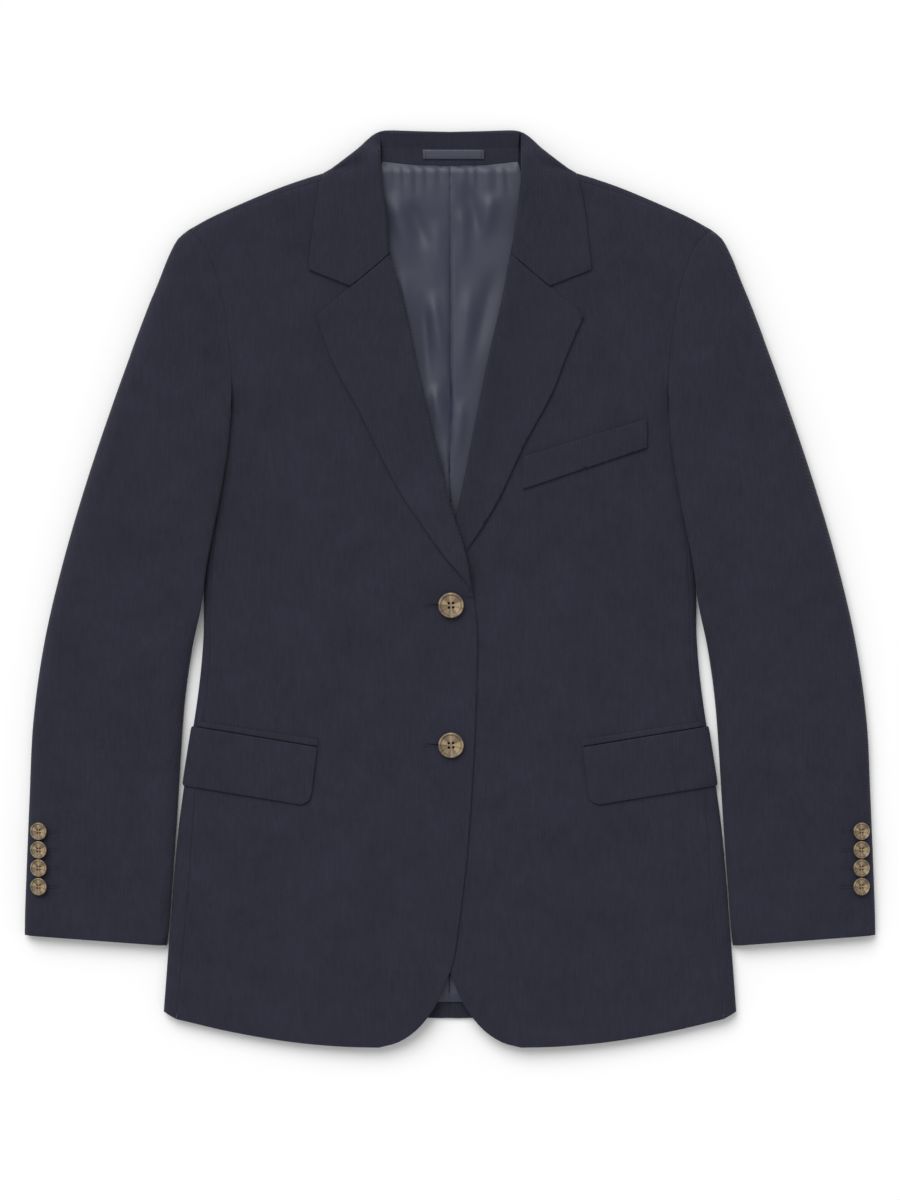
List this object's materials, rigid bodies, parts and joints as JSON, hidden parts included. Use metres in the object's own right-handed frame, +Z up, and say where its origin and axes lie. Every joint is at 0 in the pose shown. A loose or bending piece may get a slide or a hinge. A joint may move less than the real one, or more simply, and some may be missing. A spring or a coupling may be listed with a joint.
{
  "type": "tailored uniform jacket",
  "caption": "Single-breasted tailored uniform jacket with notched lapels, flap pockets and a chest welt, lying closed and flat on its back.",
  "frame": {"origin": "middle of the jacket's outline on the surface it lies on", "axes": "+X towards the wearer's left sleeve, +Y from hem to collar, +Z up out of the fronts"},
  "size_m": [0.722, 0.778, 0.0207],
  "materials": {
    "wool": "matt fine worsted wool, dark navy",
    "lining": "smooth satin, navy grey",
    "horn": "polished horn colour with darker streaks"
  },
  "bodies": {
    "root": {"front_left": "wool", "front_right": "wool", "back_left": "wool", "back_right": "wool", "side_left": "wool", "side_right": "wool", "top_sleeve_left": "wool", "top_sleeve_right": "wool", "under_sleeve_left": "wool", "under_sleeve_right": "wool", "lapel_left": "wool", "lapel_right": "wool", "collar": "wool", "collar_stand": "wool", "neck_facing": "wool", "back_hem_left": "wool", "back_hem_right": "wool", "pocket_jet_left": "wool", "pocket_jet_right": "wool", "pocket_flap_left": "wool", "pocket_flap_right": "wool", "chest_welt": "wool", "lining_left": "lining", "lining_right": "lining", "hanger_loop": "lining", "front_button_1": "horn", "front_button_2": "horn", "cuff_button_left_1": "horn", "cuff_button_left_2": "horn", "cuff_button_left_3": "horn", "cuff_button_left_4": "horn", "cuff_button_right_1": "horn", "cuff_button_right_2": "horn", "cuff_button_right_3": "horn", "cuff_button_right_4": "horn"}
  },
  "joints": []
}
